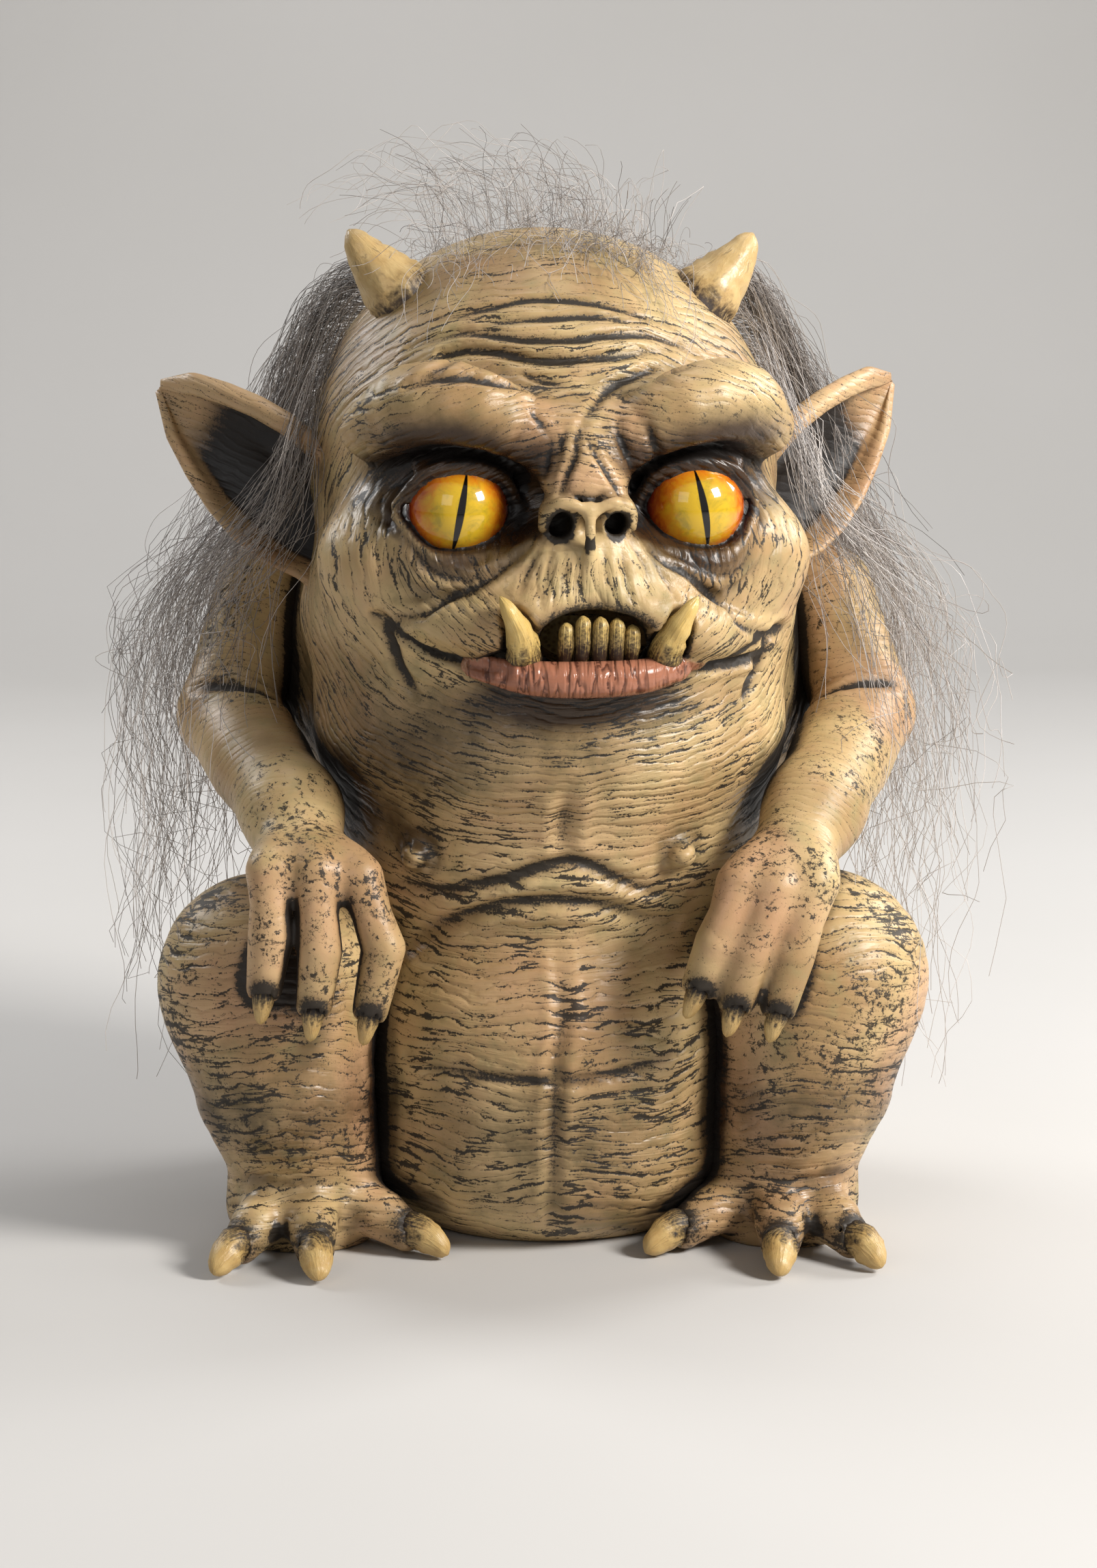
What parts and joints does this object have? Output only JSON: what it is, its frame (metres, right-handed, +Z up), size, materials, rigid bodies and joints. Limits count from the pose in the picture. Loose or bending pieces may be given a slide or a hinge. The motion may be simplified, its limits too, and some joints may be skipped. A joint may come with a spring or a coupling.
{
  "type": "halloween goblin figure",
  "caption": "Squatting goblin prop with hands on its knees, wrinkled painted latex skin, glassy eyes, horns, tusks, claws and long glued grey hair, resting on a flat base.",
  "frame": {"origin": "on the floor, at the middle of the base plug's underside", "axes": "+Z up, the figure faces -Y, its own left side is +X"},
  "size_m": [0.2617, 0.2106, 0.3452],
  "materials": {
    "skin": "painted latex, ochre with a black wash in the wrinkles, semi-gloss",
    "foam": "cut rigid foam, matt",
    "plug": "dark, matt",
    "eye": "clear gloss over a painted amber iris with a black slit pupil",
    "tooth": "yellow ivory with a brown stain at the roots, gloss",
    "horn": "ivory with a brown stained base, satin",
    "claw": "ivory with a dark root, satin",
    "hair": "grey synthetic fibre"
  },
  "bodies": {
    "root": {"body_skin": "skin", "foam_core": "foam", "base_plug": "plug", "left_arm": "skin", "left_leg": "skin", "left_ear": "skin", "left_horn": "horn", "left_eye": "eye", "left_tusk": "tooth", "left_hair": "hair", "left_inner_finger_claw": "claw", "left_middle_finger_claw": "claw", "left_outer_finger_claw": "claw", "left_outer_toe_claw": "claw", "left_middle_toe_claw": "claw", "left_inner_toe_claw": "claw", "right_arm": "skin", "right_leg": "skin", "right_ear": "skin", "right_horn": "horn", "right_eye": "eye", "right_tusk": "tooth", "right_hair": "hair", "right_inner_finger_claw": "claw", "right_middle_finger_claw": "claw", "right_outer_finger_claw": "claw", "right_outer_toe_claw": "claw", "right_middle_toe_claw": "claw", "right_inner_toe_claw": "claw", "tooth_1": "tooth", "tooth_2": "tooth", "tooth_3": "tooth", "tooth_4": "tooth", "tooth_5": "tooth", "crown_hair": "hair", "back_hair": "hair"}
  },
  "joints": []
}
